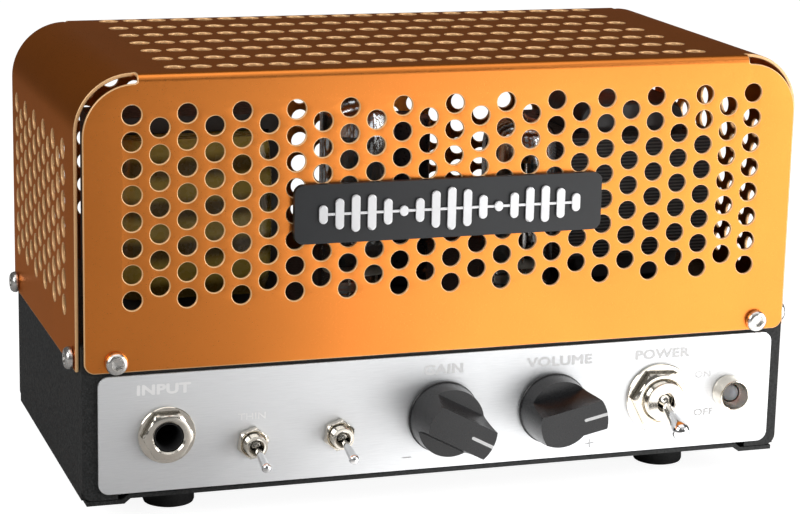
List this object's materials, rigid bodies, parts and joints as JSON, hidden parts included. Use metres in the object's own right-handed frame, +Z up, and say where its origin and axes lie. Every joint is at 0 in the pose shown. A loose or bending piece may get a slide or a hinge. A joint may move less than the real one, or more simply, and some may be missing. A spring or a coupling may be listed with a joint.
{
  "type": "guitar amplifier head",
  "caption": "Small all-valve guitar amplifier head: black chassis, perforated copper-coloured hood, brushed front panel with jack, toggle switches, pointer knobs and indicator lamp.",
  "frame": {"origin": "centre of the whole footprint (knobs and rear sockets included), on the plane of the feet's undersides", "axes": "+X to the right seen from the front, +Y to the back, +Z up; the controls face -Y"},
  "size_m": [0.2144, 0.1236, 0.1255],
  "materials": {
    "black_powder_coat": "fine-textured black powder coat on folded steel",
    "brushed_front_panel": "fine horizontal brushing, clear anodised",
    "copper_anodised_hood": "satin copper-bronze metallic on folded, perforated sheet",
    "badge_black": "satin black",
    "badge_silver": "silver-white metallic",
    "foot_rubber": "matt black moulded rubber",
    "screw_steel": "nickel-plated button head with a hexagon socket",
    "moulded_black": "moulded black plastic",
    "nickel_plate": "bright warm nickel plating",
    "knob_black": "satin black moulded plastic, white inlaid pointer line",
    "lamp_lens": "frosted, faintly violet, unlit",
    "valve_glass": "clear drawn glass with silver getter flash at the tip",
    "socket_ceramic": "glazed off-white ceramic",
    "laminated_steel": "black-lacquered stacked laminations",
    "black_tape": "black insulating tape over the winding",
    "yellow_tape": "transparent yellow-brown polyester tape over copper",
    "capacitor_sleeve": "shrunk black sleeve",
    "board_green": "green solder resist"
  },
  "bodies": {
    "amplifier": {"chassis": "black_powder_coat", "bottom_plate": "black_powder_coat", "front_panel": "brushed_front_panel", "hood": "copper_anodised_hood", "badge_plate": "badge_black", "badge_emblem": "badge_silver", "foot_front_left": "foot_rubber", "foot_rear_left": "foot_rubber", "foot_front_right": "foot_rubber", "foot_rear_right": "foot_rubber", "bottom_screw_front_left": "screw_steel", "bottom_screw_rear_left": "screw_steel", "bottom_screw_front_right": "screw_steel", "bottom_screw_rear_right": "screw_steel", "hood_screw_front_left": "screw_steel", "hood_screw_rear_left": "screw_steel", "hood_screw_left_side_front": "screw_steel", "hood_screw_left_side_rear": "screw_steel", "hood_screw_front_right": "screw_steel", "hood_screw_rear_right": "screw_steel", "hood_screw_right_side_front": "screw_steel", "hood_screw_right_side_rear": "screw_steel", "input_jack": "moulded_black", "speaker_jack_8_ohm": "moulded_black", "speaker_jack_16_ohm": "moulded_black", "mains_inlet": "moulded_black", "input_jack_washer": "nickel_plate", "input_jack_nut": "nickel_plate", "speaker_jack_8_ohm_nut": "nickel_plate", "speaker_jack_16_ohm_nut": "nickel_plate", "power_switch_washer": "nickel_plate", "power_switch_nut": "nickel_plate", "power_switch_body": "nickel_plate", "tone_switch_body": "nickel_plate", "tone_switch_nut": "nickel_plate", "voice_switch_body": "nickel_plate", "voice_switch_nut": "nickel_plate", "gain_pot": "nickel_plate", "volume_pot": "nickel_plate", "lamp_bezel": "nickel_plate", "lamp_lens": "lamp_lens", "power_valve": "valve_glass", "preamp_valve": "valve_glass", "power_valve_socket": "socket_ceramic", "preamp_valve_socket": "socket_ceramic", "power_transformer_core": "laminated_steel", "output_transformer_core": "laminated_steel", "power_transformer_winding": "black_tape", "output_transformer_winding": "yellow_tape", "filter_capacitor": "capacitor_sleeve", "circuit_board": "board_green"},
    "gain_knob": {"gain_knob": "knob_black", "gain_pot_shaft": "nickel_plate"},
    "volume_knob": {"volume_knob": "knob_black", "volume_pot_shaft": "nickel_plate"},
    "tone_lever": {"tone_switch_lever": "nickel_plate"},
    "voice_lever": {"voice_switch_lever": "nickel_plate"},
    "power_lever": {"power_switch_lever": "nickel_plate"}
  },
  "joints": [
    {"name": "gain_knob_turn", "type": "hinge", "parent": "amplifier", "child": "gain_knob", "pos_m": [-0.0014, -0.05132, 0.0257], "axis": [0, 1, 0], "range_deg": [-268, 32]},
    {"name": "volume_knob_turn", "type": "hinge", "parent": "amplifier", "child": "volume_knob", "pos_m": [0.0317, -0.05132, 0.0257], "axis": [0, 1, 0], "range_deg": [-228, 72]},
    {"name": "tone_lever_throw", "type": "hinge", "parent": "amplifier", "child": "tone_lever", "pos_m": [-0.0566, -0.04667, 0.0223], "axis": [-1, 0, 0], "range_deg": [0, 26]},
    {"name": "voice_lever_throw", "type": "hinge", "parent": "amplifier", "child": "voice_lever", "pos_m": [-0.0319, -0.04667, 0.0227], "axis": [-1, 0, 0], "range_deg": [0, 26]},
    {"name": "power_lever_throw", "type": "hinge", "parent": "amplifier", "child": "power_lever", "pos_m": [0.065, -0.04617, 0.0262], "axis": [-1, 0, 0], "range_deg": [0, 44]}
  ]
}
